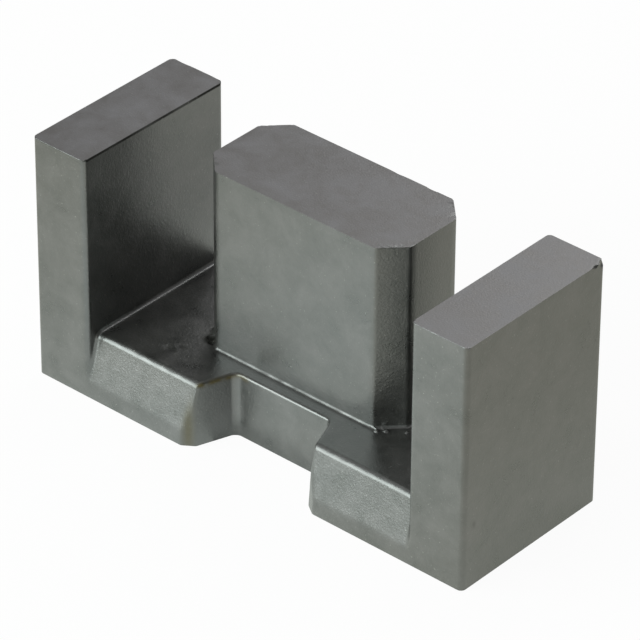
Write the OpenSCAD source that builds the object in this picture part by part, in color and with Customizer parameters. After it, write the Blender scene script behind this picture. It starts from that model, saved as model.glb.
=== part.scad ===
// Half of a low-profile ferrite E core, pressed and sintered as one piece.
// Millimetres. The core stands on the outer face of its yoke: X runs along the
// width, Y through the depth (the notched side is -Y) and Z up to the ground
// mating faces. The origin is the centre of the underside.

/* [Overall] */
// Width over the two outer legs
core_w = 25; // [23:0.1:28]
// Depth from the notched front to the flat back
core_d = 9.1; // [8.8:0.1:10]
// Height from the underside to the mating faces
core_h = 12.5; // [12:0.1:16]

/* [Windows] */
// Clear span between the outer legs
leg_span = 18.8; // [16:0.1:20]
// Depth of the winding windows, from the mating faces to the yoke
window_h = 9.35; // [6:0.05:9.8]

/* [Centre leg] */
// Width of the flat centre leg
centre_w = 11.4; // [9:0.1:13]
// Thickness of the centre leg
centre_t = 5.2; // [4:0.1:5.4]
// Set-back of the centre leg from the back of the core
centre_back = 0.65; // [0.3:0.05:0.8]
// Chamfer on the centre leg's four upright edges
centre_chamfer = 1.1; // [0.6:0.05:1.5]
// Softening radius where each chamfer meets a face
centre_edge_r = 0.12; // [0.05:0.01:0.25]

/* [Lead-out notch] */
// Width of the notch at its inner wall
notch_w = 5.4; // [4:0.1:7]
// Depth of the notch from the front
notch_depth = 2.4; // [1.5:0.05:2.6]
// Flare of each side wall away from the centre line, in degrees
notch_flare = 20; // [10:1:30]
// Radius of the notch's two inner corners
notch_inner_r = 0.4; // [0.2:0.05:0.8]
// Radius where each side wall turns out to the front
notch_outer_r = 0.6; // [0.3:0.05:1]

/* [Sloping lobes] */
// Height of the upright strip at the foot of each lobe
strip_h = 0.75; // [0.5:0.05:1.5]
// How far each lobe leans back at the top of the yoke
slope_set = 0.68; // [0.4:0.02:1]
// Radius that blends the strip into the slope
slope_foot_r = 1.4; // [0.5:0.1:2]

/* [Edges] */
// Radius of the outer legs' upright edges
leg_edge_r = 0.27; // [0.1:0.01:0.5]
// Radius along the top edges of the yoke
yoke_edge_r = 0.22; // [0.1:0.01:0.3]
// Root fillet where the yoke meets the outer legs
leg_root_r = 0.2; // [0.1:0.01:0.4]
// Root fillet around the centre leg
centre_root_r = 0.15; // [0.05:0.01:0.3]

/* [Hidden] */
$fn = 48;

// How far a cutting shape runs past the solid
past = 1;
// How far a fillet laps into the solids it joins
lap = 0.04;

yoke_h = core_h - window_h;
leg_w = (core_w - leg_span) / 2;
front_y = -core_d / 2;
back_y = core_d / 2;
centre_y = back_y - centre_back - centre_t / 2;
notch_y = front_y + notch_depth;

// An outline is a list of corners [x, y, radius], anticlockwise and convex.
leg_outline = let (x = leg_w / 2, y = core_d / 2, r = leg_edge_r)
    [[x, -y, r], [x, y, r], [-x, y, r], [-x, -y, r]];

centre_outline =
    let (x = centre_w / 2, y = centre_t / 2, c = centre_chamfer, r = centre_edge_r)
    [[x - c, -y, r], [x, c - y, r], [x, y - c, r], [x - c, y, r],
     [c - x, y, r], [-x, y - c, r], [-x, c - y, r], [c - x, -y, r]];

notch_outline =
    let (x = notch_w / 2, out = (notch_depth + past) * tan(notch_flare))
    [[x + out, front_y - past, 0], [x, notch_y, notch_inner_r],
     [-x, notch_y, notch_inner_r], [-x - out, front_y - past, 0]];

// Section of the yoke, with the depth along X and the height along Y.
yoke_outline =
    [[back_y, 0, 0], [back_y, yoke_h, 0], [front_y + slope_set, yoke_h, yoke_edge_r],
     [front_y, strip_h, slope_foot_r], [front_y, 0, 0]];

// The side that leaves corner i, its heading, and the turn made at corner i.
function side(p, i) =
    let (a = p[i % len(p)], b = p[(i + 1) % len(p)]) [b.x - a.x, b.y - a.y];
function heading(p, i) = atan2(side(p, i).y, side(p, i).x);
function turn(p, i) = (heading(p, i) - heading(p, i + len(p) - 1) + 360) % 360;

// How far from corner i its rounding starts.
function reach(p, i) = let (k = i % len(p)) p[k][2] * tan(turn(p, k) / 2);

// What rounding a corner takes off, with some to spare outside it. The corner is
// at the origin; one side runs along +X and the other at the given angle to it.
module off_corner(r, angle) {
    t = r / tan(angle / 2);
    far = [cos(angle), sin(angle)];
    difference() {
        polygon([[t, -past], [t, r], t * far, t * far + past * [-far.y, far.x],
                 -past / sin(angle / 2) * [cos(angle / 2), sin(angle / 2)]]);
        translate([t, r]) circle(r);
    }
}

// The area inside an outline, with its corners rounded.
module rounded(p) {
    difference() {
        polygon([for (c = p) [c.x, c.y]]);
        for (i = [0 : len(p) - 1])
            if (p[i][2] > 0)
                translate([p[i].x, p[i].y]) rotate(heading(p, i))
                    off_corner(p[i][2], 180 - turn(p, i));
    }
}

// Section of a fillet of radius r. It laps a little into both of the solids
// that it joins, or out of the solid whose edge it rounds.
module cove(r) {
    difference() {
        translate([-lap, -lap]) square(r + lap);
        translate([r, r]) circle(r);
    }
}

// A fillet of radius r on the plane z = 0, along the chosen sides of a post that
// has the given outline: a straight length on each side, and a ring round each
// rounded corner where a side starts, which lies inside the post elsewhere.
module root_fillet(p, r, sides) {
    for (i = sides)
        translate([p[i].x, p[i].y, 0]) rotate(heading(p, i)) translate([reach(p, i), 0, 0]) {
            rotate([90, 0, 90])
                linear_extrude(norm(side(p, i)) - reach(p, i) - reach(p, i + 1))
                    mirror([1, 0]) cove(r);
            if (p[i][2] > 0)
                translate([0, p[i][2], 0]) rotate_extrude() translate([p[i][2], 0]) cove(r);
        }
}

// Stands a shape that was drawn on X and Y up on Y and Z, facing +X.
module stand(x) {
    translate([x, 0, 0]) rotate([90, 0, 90]) children();
}

// What the lead-out notch takes from the yoke, with the rounding where each
// side wall turns out to the front.
module notch() {
    mouth = notch_w / 2 + notch_depth * tan(notch_flare);
    translate([0, 0, -past]) linear_extrude(yoke_h + 2 * past) {
        rounded(notch_outline);
        for (s = [0, 1]) mirror([s, 0])
            translate([mouth, front_y]) off_corner(notch_outer_r, 90 + notch_flare);
    }
}

// The yoke: a bar with sloping lobes that runs into both outer legs.
module yoke() {
    length = leg_span + leg_w;
    difference() {
        stand(-length / 2) linear_extrude(length) rounded(yoke_outline);
        notch();
    }
}

// The fillet between an outer leg and the yoke, over the yoke's top and down
// its slope. It stops where the leg's own rounded edges begin.
module leg_fillet() {
    intersection() {
        stand(-leg_span / 2) root_fillet(yoke_outline, leg_root_r, [1, 2]);
        translate([-leg_span / 2 - lap, front_y + leg_edge_r, 0])
            cube([lap + leg_root_r, core_d - 2 * leg_edge_r, core_h]);
    }
}

module outer_leg() {
    translate([-(leg_span + leg_w) / 2, 0, 0]) linear_extrude(core_h) rounded(leg_outline);
    leg_fillet();
}

module centre_leg() {
    translate([0, centre_y, 0]) {
        linear_extrude(core_h) rounded(centre_outline);
        translate([0, 0, yoke_h]) root_fillet(centre_outline, centre_root_r, [0 : 7]);
    }
}

module e_core() {
    color([0.27, 0.27, 0.28]) {
        yoke();
        for (s = [0, 1]) mirror([s, 0, 0]) outer_leg();
        centre_leg();
    }
}

e_core();
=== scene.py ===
import math

import bpy
import numpy as np
from mathutils import Matrix, Vector


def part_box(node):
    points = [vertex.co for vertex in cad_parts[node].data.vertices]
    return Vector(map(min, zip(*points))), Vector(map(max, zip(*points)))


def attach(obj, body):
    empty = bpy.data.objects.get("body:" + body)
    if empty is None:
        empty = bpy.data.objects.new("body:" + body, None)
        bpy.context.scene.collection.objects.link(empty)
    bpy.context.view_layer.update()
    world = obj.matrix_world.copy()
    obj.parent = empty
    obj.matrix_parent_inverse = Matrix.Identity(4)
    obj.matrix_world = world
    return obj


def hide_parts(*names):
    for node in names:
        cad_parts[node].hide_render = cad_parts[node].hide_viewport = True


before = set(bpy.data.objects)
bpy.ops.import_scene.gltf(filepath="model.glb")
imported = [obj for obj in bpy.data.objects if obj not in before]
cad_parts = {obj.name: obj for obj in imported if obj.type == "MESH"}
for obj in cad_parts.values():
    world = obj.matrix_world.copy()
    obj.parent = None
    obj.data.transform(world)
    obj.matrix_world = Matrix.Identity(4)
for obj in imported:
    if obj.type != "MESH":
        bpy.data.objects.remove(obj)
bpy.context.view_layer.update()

# Yoke ------------------------------------------------------------------------
# The low bar that joins the three legs, pressed in one stroke with them from
# manganese-zinc ferrite powder. Its notched side leans back in two lobes, and
# the notch lets the ends of the winding out.

# Sizes are millimetres up to the mesh. The core's box gives the outer ones.
low, high = [1000 * np.array(corner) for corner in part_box("e_core")]
half_w, front_y, back_y, core_h = high[0], low[1], high[1], high[2]

# From the centre line to the outer legs, and from the underside to the yoke's top
leg_inner, yoke_h = 9.4, 3.15

# The upright strip at the foot of each lobe, how far the lobe leans back, and its top edge
strip_h, slope_set, lobe_edge_r = 0.75, 0.68, 0.22

# The notch at its inner wall; its draft is in millimetres per millimetre of height
notch_x, notch_half, notch_depth = 0.1, 2.62, 2.32
notch_flare, notch_draft, notch_inner_r = math.radians(20), 0.05, 0.28

# How much the facet at each side of the mouth cuts off, and how soft its edges are
mouth_facet, facet_soft = 0.40, 0.05

# How soft the rim is in front and inside the notch, and how far it takes to change
rim_front, rim_inner, rim_change = 0.053, 0.143, 0.5


def edge(a, b, r):
    """The greater of two distances, with a quarter circle of radius r on the edge where the faces meet."""
    return np.minimum(np.maximum(a, b), -r) + np.hypot(np.maximum(a + r, 0), np.maximum(b + r, 0))


def root(a, b, r):
    """The lesser of two distances, with a fillet of radius r in the corner between the faces."""
    return np.maximum(np.minimum(a, b), r) - np.hypot(np.maximum(r - a, 0), np.maximum(r - b, 0))


def soften(a, b, k):
    """The greater of two distances, plus (k - |a - b|)^2 / 4k where they differ by less than k: a parabola
    over the edge, for faces that meet at a shallow angle."""
    return np.maximum(a, b) + np.maximum(k - np.abs(a - b), 0) ** 2 / (4 * k)


def notch(x, y, z):
    """Distance into the lead-out notch: a flared slot with two rounded inner corners, whose walls lean back
    by the draft that lets the punch out."""
    inner = front_y + notch_depth + notch_draft * z
    wall = np.abs(x - notch_x) - notch_half - notch_draft * z - (inner - y) * np.tan(notch_flare)
    return edge(wall * np.cos(notch_flare), y - inner, notch_inner_r)


def yoke(x, y, z):
    """Distance from the bar. Its top and its slope meet in a rounded edge. The front and each wall of the
    notch meet in a narrow upright facet, square to the line that halves their corner. The rim where the top
    meets them is softened, more inside the notch than in front. The bar ends inside the outer legs."""
    run, rise = slope_set, yoke_h - strip_h
    slope = (run * (z - strip_h) - rise * (y - front_y)) / math.hypot(run, rise)
    upper = edge(z - yoke_h, slope, lobe_edge_r)
    front, wall = front_y - y, -notch(x, y, z)
    facet = (front + wall + mouth_facet) / (2 * math.cos((math.pi / 2 - notch_flare) / 2))
    plan = soften(np.maximum(front, wall), facet, facet_soft)
    rim = rim_front + (rim_inner - rim_front) * np.clip((y - front_y) / rim_change, 0, 1)
    return np.maximum(soften(upper, plan, rim), np.abs(x) - (half_w + leg_inner) / 2)


# Outer legs ------------------------------------------------------------------
# Two flat bars of the same ferrite at the ends of the yoke. The die rounds
# their upright edges; their tops are ground flat, so the edges there are sharp.
leg_edge_r = 0.27


def outer_legs(x, y, z):
    """Distance in plan from a bar with four rounded upright edges, and from its mirror image."""
    middle, half = (half_w + leg_inner) / 2, (half_w - leg_inner) / 2
    across = np.abs(np.abs(x) - middle) - half
    along = np.maximum(front_y - y, y - back_y)
    return edge(across, along, leg_edge_r)


# Centre leg ------------------------------------------------------------------
# The flat post of the same ferrite that carries the winding. It is pressed
# nearer the back, with its four upright edges cut off at 45 degrees.
centre_half, centre_t, centre_back = 5.7, 5.2, 0.65
centre_cut, centre_soft = 1.1, 0.09


def centre_leg(x, y, z):
    """Distance in plan from an eight-sided post; the edges of the cut corners are softened."""
    middle = back_y - centre_back - centre_t / 2
    across, along = np.abs(x) - centre_half, np.abs(y - middle) - centre_t / 2
    cut = (across + along + centre_cut) / math.sqrt(2)
    return soften(np.maximum(across, along), cut, centre_soft)


# Wear ------------------------------------------------------------------------
# What the die, the grinding wheel and handling left on the ferrite: a nick and
# three crumbs at the foot of the centre leg, two shallow dents in the yoke, a
# chipped corner, and a fine uneven bevel on the edges of the leg ends.

# Each scoop: its middle, its half-sizes, and how rough its wall is
scoops = [
    ((-5.36, -0.78, 3.24), (0.26, 0.24, 0.20), 0.0),
    ((-5.08, -1.06, 3.24), (0.22, 0.20, 0.18), 0.0),
    ((-6.20, -2.62, 3.50), (0.90, 0.55, 0.38), 0.0),
    ((-5.90, -2.20, 3.50), (0.70, 0.50, 0.37), 0.0),
    ((12.60, 4.56, 12.52), (0.32, 0.44, 0.38), 0.12),
    ((12.62, 3.86, 12.56), (0.18, 0.28, 0.18), 0.1)]
scoop_soft, scoop_wave = 0.02, 0.12

# Each crumb: its middle and its radius
crumbs = [((4.90, -1.34, 3.09), 0.14), ((5.22, -1.08, 3.11), 0.13), ((5.96, -0.56, 3.14), 0.07)]
crumb_root_r = 0.05

# The bevel's least width, and what a worn place adds to it
bevel_least, bevel_worn, bevel_wave = 0.014, 0.025, 0.3
directions = np.random.default_rng(5).normal(size=(9, 4))


def ripple(x, y, z, wave):
    """An uneven field, mostly between -1 and 1: a third of the sum of nine sines that run in fixed, scattered
    directions, each as long as wave times 2 pi over the length of its direction."""
    field = 0
    for a, b, c, start in directions:
        field = field + np.sin((a * x + b * y + c * z) / wave + 3 * start)
    return field / 3


def knocked(body, x, y, z):
    """Takes ellipsoid scoops out of the body and joins round crumbs to it. The distance from a scoop is its
    least half-size times (length - 1), where the length is that of the offset over the half-sizes."""
    for (mx, my, mz), (rx, ry, rz), rough in scoops:
        least = min(rx, ry, rz)
        hole = (np.sqrt(((x - mx) / rx) ** 2 + ((y - my) / ry) ** 2 + ((z - mz) / rz) ** 2) - 1) * least
        body = soften(body, -(hole + rough * least * ripple(x, y, z, scoop_wave)), scoop_soft)
    for (mx, my, mz), r in crumbs:
        crumb = np.sqrt((x - mx) ** 2 + (y - my) ** 2 + (z - mz) ** 2) - r
        body = root(body, crumb, crumb_root_r)
    return body


def bevel(x, y, z):
    """Width of the bevel on the ground edges: the least width, and more where a ripple is near its crest."""
    return bevel_least + bevel_worn * np.clip(ripple(x, y, z, bevel_wave) - 0.9, 0, 1)


# Skin ------------------------------------------------------------------------
# Yoke and legs are one sintered piece, so they are one closed skin. They run
# into each other through fillets that no grid of two parameters follows, so the
# skin is found on a lattice, where the distance from the core is zero.
leg_root_r, centre_root_r = 0.2, 0.15


def core(x, y, z):
    """Distance from the whole core: the forms joined with root fillets, cut off at the flat faces of the box,
    knocked about, and then ground off at the top with a bevel at 45 degrees."""
    body = root(outer_legs(x, y, z), yoke(x, y, z), leg_root_r)
    body = root(body, centre_leg(x, y, z), centre_root_r)
    for face in (front_y - y, y - back_y, np.abs(x) - half_w, -z):
        body = np.maximum(body, face)
    body = knocked(body, x, y, z)
    ground = z - core_h
    return np.maximum(np.maximum(body, ground), (body + ground + bevel(x, y, z)) / math.sqrt(2))


def stations(start, end, coarse, places):
    """Lattice stations from start to end. The step is coarse, and drops to the given fine step at each
    place (at, reach, fine), with a cosine between; stations lie at equal parts of the integral of 1/step."""
    line = np.linspace(start, end, 20000)
    step = np.full_like(line, coarse)
    for at, reach, fine in places:
        near = 0.5 - 0.5 * np.cos(np.pi * np.clip(np.abs(line - at) / reach - 0.5, 0, 1))
        step = np.minimum(step, fine + (coarse - fine) * near)
    count = np.concatenate([[0], np.cumsum(np.diff(line) * 2 / (step[1:] + step[:-1]))])
    return np.interp(np.linspace(0, count[-1], int(count[-1]) + 2), count, line)


def crossings(depth, lines, inside, axis):
    """Where the surface crosses the lattice edges that run along one axis. Each place is found by halving the
    edge nine times, and its normal from small steps to both sides. Gives the places, the normals, and the
    four cells round each edge in turning order."""
    starts_in, ends_in = np.moveaxis(inside, axis, 0)[:-1], np.moveaxis(inside, axis, 0)[1:]
    crossed = starts_in != ends_in
    was_inside = starts_in[crossed]
    others = [k for k in range(3) if k != axis]
    index = np.array(np.nonzero(crossed)).T[:, np.argsort([axis, *others])]
    starts = np.stack([lines[k][index[:, k]] for k in range(3)], 1)
    length = lines[axis][index[:, axis] + 1] - lines[axis][index[:, axis]]
    near, far = np.zeros(len(index)), np.ones(len(index))
    for _ in range(9):
        middle = (near + far) / 2
        at = starts.copy()
        at[:, axis] += middle * length
        same = (depth(*at.T) < 0) == was_inside
        near, far = np.where(same, middle, near), np.where(same, far, middle)
    at = starts.copy()
    at[:, axis] += (near + far) / 2 * length
    steps = 0.002 * np.eye(3)
    normal = np.stack([depth(*(at + step).T) - depth(*(at - step).T) for step in steps], 1)
    normal /= np.linalg.norm(normal, axis=1)[:, None] + 1e-12
    ring = []
    for du, dv in ((-1, -1), (0, -1), (0, 0), (-1, 0)):
        cell = index.copy()
        cell[:, others[0]] += du
        cell[:, others[1]] += dv
        ring.append(np.ravel_multi_index(cell.T, np.array(inside.shape) - 1))
    ring = np.array(ring).T
    forward = was_inside if axis != 1 else ~was_inside
    return at, normal, np.where(forward[:, None], ring, ring[:, ::-1])


def skin(depth, xs, ys, zs):
    """The surface where depth is zero, as quads. Each cell that the surface enters gets one vertex, at the
    least squares meeting point of the planes of its own crossings, held a little to the middle of them, so
    flat faces stay flat and sharp edges sharp. Each crossed edge gives the quad of its four cells."""
    lines = (xs, ys, zs)
    inside = depth(xs[:, None, None], ys[None, :, None], zs[None, None, :]) < 0
    points, normals, quads = zip(*[crossings(depth, lines, inside, axis) for axis in range(3)])
    points, normals = [np.repeat(np.concatenate(part), 4, 0) for part in (points, normals)]
    quads = np.concatenate(quads)
    cells, number = np.unique(quads.ravel(), return_inverse=True)

    def total(value):
        return np.bincount(number, value, len(cells))

    count = total(np.ones(len(number)))
    middle = np.stack([total(points[:, k]) for k in range(3)], 1) / count[:, None]
    away = ((points - middle[number]) * normals).sum(1)
    planes, pull = np.empty((len(cells), 3, 3)), np.empty((len(cells), 3))
    for i in range(3):
        pull[:, i] = total(normals[:, i] * away)
        for j in range(3):
            planes[:, i, j] = total(normals[:, i] * normals[:, j])
    planes += 0.03 * np.eye(3)
    vertices = middle + np.linalg.solve(planes, pull[:, :, None])[:, :, 0]
    corner = np.unravel_index(cells, np.array(inside.shape) - 1)
    for k in range(3):
        vertices[:, k] = np.clip(vertices[:, k], lines[k][corner[k]], lines[k][corner[k] + 1])
    return vertices, np.searchsorted(cells, quads)


# The lattice starts a margin outside the core. It is fine at the edges and the
# fillets, and at the dents, the walls of the notch and the tops of the lobes.
margin = 0.05
dents_x, notch_wall_x, lobe_top_y = -6.1, 3.2, -3.8
xs = stations(-half_w - margin, half_w + margin, 0.28, [
    (-half_w, 0.5, 0.05), (-leg_inner, 0.35, 0.05), (-centre_half, 0.7, 0.05), (dents_x, 0.6, 0.07),
    (-notch_wall_x, 0.9, 0.06), (notch_wall_x, 0.9, 0.06),
    (centre_half, 0.5, 0.05), (leg_inner, 0.35, 0.05), (half_w, 0.5, 0.05)])
ys = stations(front_y - margin, back_y + margin, 0.25, [
    (front_y, 1.0, 0.06), (lobe_top_y, 0.5, 0.05), (front_y + notch_depth, 0.8, 0.06),
    (back_y - centre_back - centre_t, 0.7, 0.05), (back_y - centre_back, 0.3, 0.06), (back_y, 0.3, 0.06)])
zs = stations(-margin, core_h + margin, 0.28, [
    (0, 0.3, 0.06), (strip_h, 0.4, 0.08), (yoke_h, 0.6, 0.05), (core_h, 0.35, 0.045)])
vertices, quads = skin(core, xs, ys, zs)
vertices = np.clip(vertices, low, high)
mesh = bpy.data.meshes.new("ferrite_core")
mesh.from_pydata((vertices / 1000).tolist(), [], quads.tolist(), shade_flat=False)
mesh.validate()
mesh.set_sharp_from_angle(angle=math.radians(38))
ferrite_core = bpy.data.objects.new("ferrite_core", mesh)
bpy.context.scene.collection.objects.link(ferrite_core)


def store(name, value):
    """Keeps one number between 0 and 1 per vertex, for the finish to read."""
    attribute = mesh.attributes.new(name, "FLOAT", "POINT")
    attribute.data.foreach_set("value", np.clip(value, 0, 1).astype(np.float32))


def spot(middle, spread):
    """At each vertex, e to the power of minus the summed squares of its offsets from the middle, each over
    its own spread."""
    return np.exp(-(((vertices - middle) / spread) ** 2).sum(1))


# Rust lies in a thin line under the rim of the notch on the left, and has run
# down the facet at its mouth as an olive stain.
x, y, z = vertices.T
rust_line = np.exp(-((notch(x, y, z) - 0.01) / 0.1) ** 2 - ((z - 3.02) / 0.11) ** 2)
rust_line *= (x < -2.1) * (y > -4.2) * (0.7 + 0.4 * ripple(x, y, z, 0.12))
store("rust", rust_line + 0.6 * spot((-3.5, -4.38, 0.9), (0.26, 0.3, 1.7)))

# The grime-and-shade attribute. Painted shade darkens the nick, which is deep; the two dents and the left
# wall of the notch are made darker; and grime lies in three specks.
grime_and_shade = 1.6 * spot((-5.25, -0.85, 3.2), (0.45, 0.42, 0.4))
grime_and_shade += 0.8 * spot((-6.2, -2.62, 3.15), (0.34, 0.2, 0.1))
grime_and_shade += 0.8 * spot((-5.9, -2.2, 3.15), (0.26, 0.2, 0.1))
grime_and_shade += 0.8 * spot((5.42, -1.5, 3.15), (0.16, 0.12, 0.1))
grime_and_shade += 0.8 * spot((5.95, -1.88, 3.15), (0.12, 0.1, 0.1))
grime_and_shade += 0.8 * spot((6.16, -1.76, 3.15), (0.11, 0.1, 0.1))
grime_and_shade += 0.22 * spot((-3.1, -3.4, 1.5), (0.6, 0.9, 1.5))

# It also darkens the gloss unevenly along the tops of the lobes and the foot of the centre leg.
lobe_top = np.exp(-((y - front_y - slope_set) / 0.12) ** 2)
leg_foot = np.exp(-((y - back_y + centre_back + centre_t) / 0.15) ** 2) * (np.abs(x) < 5)
uneven = np.clip(0.3 + 0.2 * ripple(x, y, z, 0.13), 0, 1)
grime_and_shade += uneven * (lobe_top + leg_foot) * np.exp(-((z - 3.17) / 0.15) ** 2)

# Painted shade: it darkens the bevels of the leg ends in a thin line, most of all on the sides of the
# windows.
window = np.exp(-((np.abs(x) - leg_inner) / 0.08) ** 2)
shaded_bevel = (z > core_h - 0.05 - 0.06 * window) * (z < core_h - 0.001 * (window < 0.5))
store("grime_and_shade", grime_and_shade + shaded_bevel * (0.3 + 0.6 * window + 0.2 * ripple(x, y, z, 0.5)))


def linear(code):
    """An sRGB hex colour as linear light."""
    value = np.array([int(code[i:i + 2], 16) for i in (1, 3, 5)]) / 255
    return (*np.where(value <= 0.04045, value / 12.92, ((value + 0.055) / 1.055) ** 2.4), 1.0)


def add(owner, kind, inputs, **settings):
    """Adds a node of that kind with its settings. Each input is linked to a socket or set to a value."""
    node = owner.node_tree.nodes.new(kind)
    for name, value in settings.items():
        setattr(node, name, value)
    for name, source in inputs.items():
        if isinstance(source, bpy.types.NodeSocket):
            owner.node_tree.links.new(source, node.inputs[name])
        else:
            node.inputs[name].default_value = source
    return node


def new_material(name):
    """An empty material with nodes."""
    material = bpy.data.materials.new(name)
    material.use_nodes = True
    material.node_tree.nodes.clear()
    return material


# Sintered manganese-zinc ferrite is a dense black ceramic of high refractive
# index, so the eye sees it grey by its gloss and almost black underneath. Its
# real grain is some hundredths of a millimetre, and is drawn coarser to show.
ferrite_index = 2.4
fleck_colour, rust_colour = "#6c6c66", "#524930"
# Grime and painted shade turn the gloss to the first of these tints and add the roughness at the end of the
# line; rust tints it olive.
grime_and_shade_tint, rust_tint, grime_and_shade_rough = "#161615", "#8f8b70", 0.3


def ferrite(name, dark, light, dull, full, gloss, grain, height):
    """A ferrite finish. The colour from dark to light, the tint of the gloss from dull to full and the two
    roughnesses of gloss wander together, in patches of 1.7 mm with finer ones inside. A bump of the given
    height in metres has grains of the given width in millimetres, with light flecks on the highest. Rust
    colours all this. The grime-and-shade attribute darkens and roughens the gloss: grime in some places,
    painted shade in others."""
    finish = new_material(name)
    place = add(finish, "ShaderNodeTexCoord", {}).outputs["Object"]
    cloud = add(finish, "ShaderNodeTexNoise", {
        "Vector": place, "Scale": 600, "Detail": 8, "Roughness": 0.72, "Distortion": 0.3}).outputs["Fac"]
    speck = add(finish, "ShaderNodeTexNoise", {
        "Vector": place, "Scale": 1000 / grain, "Detail": 3, "Roughness": 0.6}).outputs["Fac"]
    patch = add(finish, "ShaderNodeMapRange", {"Value": cloud, "From Min": 0.36, "From Max": 0.64}).outputs[0]
    fleck = add(finish, "ShaderNodeMapRange", {"Value": speck, "From Min": 0.66, "From Max": 0.74}).outputs[0]
    rust = add(finish, "ShaderNodeAttribute", {}, attribute_name="rust").outputs["Fac"]
    grime_and_shade = add(finish, "ShaderNodeAttribute", {}, attribute_name="grime_and_shade").outputs["Fac"]
    colour, tint = linear(dark), linear(dull)
    for factor, code in ((patch, light), (fleck, fleck_colour), (rust, rust_colour)):
        colour = add(finish, "ShaderNodeMix", {"Factor": factor, 6: colour, 7: linear(code)},
                     data_type="RGBA").outputs[2]
    for factor, code in ((patch, full), (grime_and_shade, grime_and_shade_tint), (rust, rust_tint)):
        tint = add(finish, "ShaderNodeMix", {"Factor": factor, 6: tint, 7: linear(code)},
                   data_type="RGBA").outputs[2]
    rough = add(finish, "ShaderNodeMapRange", {"Value": patch, "To Min": gloss[0], "To Max": gloss[1]})
    rough = add(finish, "ShaderNodeMath", {0: grime_and_shade, 1: grime_and_shade_rough, 2: rough.outputs[0]},
                operation="MULTIPLY_ADD", use_clamp=True)
    bump = add(finish, "ShaderNodeBump", {"Height": speck, "Distance": height, "Strength": 1.0})
    shader = add(finish, "ShaderNodeBsdfPrincipled", {
        "Base Color": colour, "Specular Tint": tint, "Roughness": rough.outputs[0],
        "Normal": bump.outputs[0], "IOR": ferrite_index})
    add(finish, "ShaderNodeOutputMaterial", {"Surface": shader.outputs["BSDF"]})
    mesh.materials.append(finish)


# The die and the kiln leave an even gloss with a hint of green. Grinding leaves
# the leg ends duller and more violet.
ferrite("ferrite_as_fired", "#1b1b19", "#2f2f2c", "#eef1ef", "#ffffff", (0.27, 0.35), 0.11, 1.1e-5)
ferrite("ferrite_ground", "#221f1e", "#3d3b3e", "#f3f1ef", "#ffffff", (0.40, 0.50), 0.09, 9e-6)
on_top = (vertices[quads][:, :, 2] > core_h - 0.002).all(1)
mesh.polygons.foreach_set("material_index", on_top.astype(np.int32))
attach(ferrite_core, "root")
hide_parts("e_core")

# Floor -----------------------------------------------------------------------
# A plain white sheet of paper under the core. It shows white to the lens and to
# the gloss of the ferrite, and keeps a faint shadow. Sizes are metres from here.
sheet_half = 2
floor_mesh = bpy.data.meshes.new("floor")
floor_mesh.from_pydata([(-sheet_half, -sheet_half, 0), (sheet_half, -sheet_half, 0),
                        (sheet_half, sheet_half, 0), (-sheet_half, sheet_half, 0)], [], [(0, 1, 2, 3)])
floor = bpy.data.objects.new("floor", floor_mesh)
bpy.context.scene.collection.objects.link(floor)
paper = new_material("white_paper")
ray = add(paper, "ShaderNodeLightPath", {}).outputs
place = add(paper, "ShaderNodeTexCoord", {}).outputs["Object"]

# The gloss sees a long pool of cool light on the sheet, in front of the core and
# a little left of it, which fades and turns warm over 30 mm. The pool is twice
# as long as it is wide, so lengths along it count half.
halved = add(paper, "ShaderNodeVectorMath", {0: place, 1: (1, 0.5, 1)}, operation="MULTIPLY").outputs[0]
away = add(paper, "ShaderNodeVectorMath", {0: halved, 1: (-0.004, -0.0055, 0)},
           operation="DISTANCE").outputs["Value"]
pool = add(paper, "ShaderNodeMapRange", {"Value": away, "From Max": 0.03, "To Min": 1.44, "To Max": 0.73})
glow = add(paper, "ShaderNodeMix", {"Factor": ray["Is Camera Ray"], "A": pool.outputs[0], "B": 1.0},
           data_type="FLOAT")
warm = add(paper, "ShaderNodeMapRange", {"Value": away, "From Max": 0.03})
tone = add(paper, "ShaderNodeMix", {"Factor": warm.outputs[0], 6: linear("#f5fffb"), 7: linear("#fffde8")},
           data_type="RGBA")
tone = add(paper, "ShaderNodeMix", {"Factor": ray["Is Camera Ray"], 6: tone.outputs[2], 7: linear("#ffffff")},
           data_type="RGBA")
white = add(paper, "ShaderNodeEmission", {"Color": tone.outputs[2], "Strength": glow.outputs[0]})
sheet = add(paper, "ShaderNodeBsdfDiffuse", {"Color": linear("#f4f4f2")})

# Inside the notch the core keeps most of that light off the sheet.
axes = add(paper, "ShaderNodeSeparateXYZ", {"Vector": place}).outputs
between = add(paper, "ShaderNodeMath", {0: axes["X"], 1: notch_x / 1000, 2: 0.0034}, operation="COMPARE")
behind = add(paper, "ShaderNodeMath", {0: axes["Y"], 1: -0.00335}, operation="GREATER_THAN")
inside = add(paper, "ShaderNodeMath", {0: between.outputs[0], 1: behind.outputs[0]}, operation="MULTIPLY")
shown = add(paper, "ShaderNodeMapRange", {"Value": inside.outputs[0], "To Min": 0.7, "To Max": 0.15})
lens = add(paper, "ShaderNodeMath", {0: ray["Is Camera Ray"], 1: 0.95}, operation="MULTIPLY")
shown = add(paper, "ShaderNodeMath", {0: ray["Is Glossy Ray"], 1: shown.outputs[0], 2: lens.outputs[0]},
            operation="MULTIPLY_ADD")
mixed = add(paper, "ShaderNodeMixShader", {0: shown.outputs[0], 1: sheet.outputs[0], 2: white.outputs[0]})
add(paper, "ShaderNodeOutputMaterial", {"Surface": mixed.outputs[0]})
floor_mesh.materials.append(paper)

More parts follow.
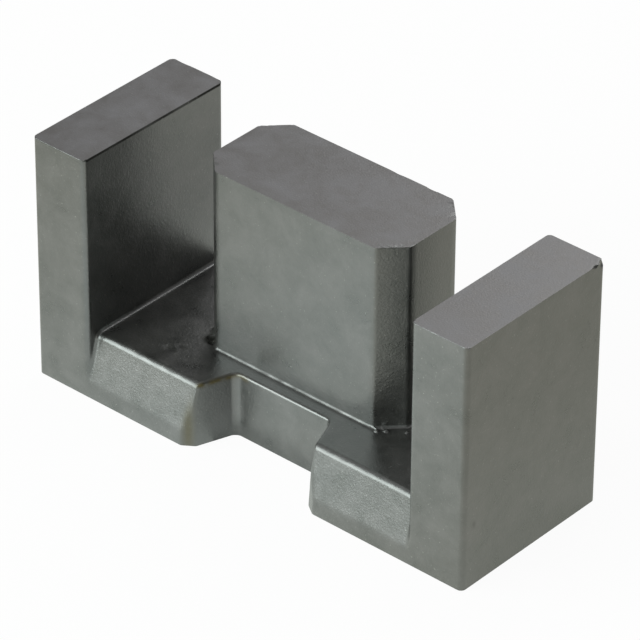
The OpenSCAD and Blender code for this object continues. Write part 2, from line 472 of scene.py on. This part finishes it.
# Light -----------------------------------------------------------------------
# A white cloth tent, darker on its right side, with two softboxes. The leaning
# lobes send the light of the broad one, low in front, to the lens. The other is
# small and stands above the back.
tent_plain, tent_gloss, tent_dark = 0.42, 0.08, 0.3
world = bpy.data.worlds.new("tent")
bpy.context.scene.world = world
world.use_nodes = True
ray = add(world, "ShaderNodeLightPath", {}).outputs
way = add(world, "ShaderNodeTexCoord", {}).outputs["Generated"]
leftness = add(world, "ShaderNodeVectorMath", {0: way, 1: (-0.9, 0.2, 0.3)}, operation="DOT_PRODUCT")
side = add(world, "ShaderNodeMapRange", {
    "Value": leftness.outputs["Value"], "From Min": -0.5, "From Max": 0.2, "To Min": tent_dark})
level = add(world, "ShaderNodeMath", {0: ray["Is Glossy Ray"], 1: tent_gloss, 2: tent_plain},
            operation="MULTIPLY_ADD")
level = add(world, "ShaderNodeMath", {0: level.outputs[0], 1: side.outputs[0]}, operation="MULTIPLY")
level = add(world, "ShaderNodeMix", {"Factor": ray["Is Camera Ray"], "A": level.outputs[0], "B": 1.0},
            data_type="FLOAT")
tent = world.node_tree.nodes["Background"]
tent.inputs["Color"].default_value = (1, 1, 1, 1)
world.node_tree.links.new(level.outputs[0], tent.inputs["Strength"])


def softbox(name, direction, distance, size, radiance, colour):
    """An area lamp at a distance along a direction from the middle of the core, facing it. Its power is pi
    times its area times its radiance. The lens doesn't see it."""
    lamp = bpy.data.lights.new(name, "AREA")
    lamp.shape = "RECTANGLE"
    lamp.size, lamp.size_y = size
    lamp.energy = math.pi * size[0] * size[1] * radiance
    lamp.color = linear(colour)[:3]
    box = bpy.data.objects.new(name, lamp)
    way = Vector(direction).normalized()
    box.location = Vector((0, 0, 0.006)) + way * distance
    box.rotation_euler = way.to_track_quat("Z", "Y").to_euler()
    box.visible_camera = False
    bpy.context.scene.collection.objects.link(box)


softbox("softbox_front", (-0.38, -0.87, 0.30), 0.30, (0.46, 0.30), 4.5, "#eef8f5")
softbox("softbox_back", (-0.20, 0.68, 0.70), 0.13, (0.06, 0.06), 2.6, "#ffffff")

# Camera ----------------------------------------------------------------------
# A camera with a long lens looks down at the notched side from the right, and is
# turned by less than half a degree about its own axis.
azimuth, elevation, roll = math.radians(41.116), math.radians(33.866), 0.0069
target, distance = Vector((0.000385, 0.000023, 0.00628)), 0.22416
sensor, lens_in_sensors = 36, 7.992
back = Vector((math.sin(azimuth) * math.cos(elevation), -math.cos(azimuth) * math.cos(elevation),
               math.sin(elevation)))
level_right = Vector((math.cos(azimuth), math.sin(azimuth), 0))
level_up = back.cross(level_right)
right = math.cos(roll) * level_right + math.sin(roll) * level_up
up = math.cos(roll) * level_up - math.sin(roll) * level_right
camera_data = bpy.data.cameras.new("camera")
camera_data.sensor_width = sensor
camera_data.lens = sensor * lens_in_sensors
camera_data.clip_start, camera_data.clip_end = 0.01, 10
camera = bpy.data.objects.new("camera", camera_data)
camera.matrix_world = Matrix((right, up, back)).transposed().to_4x4()
camera.location = target + back * distance
bpy.context.scene.collection.objects.link(camera)
bpy.context.scene.camera = camera
bpy.context.scene.view_settings.view_transform = "Standard"
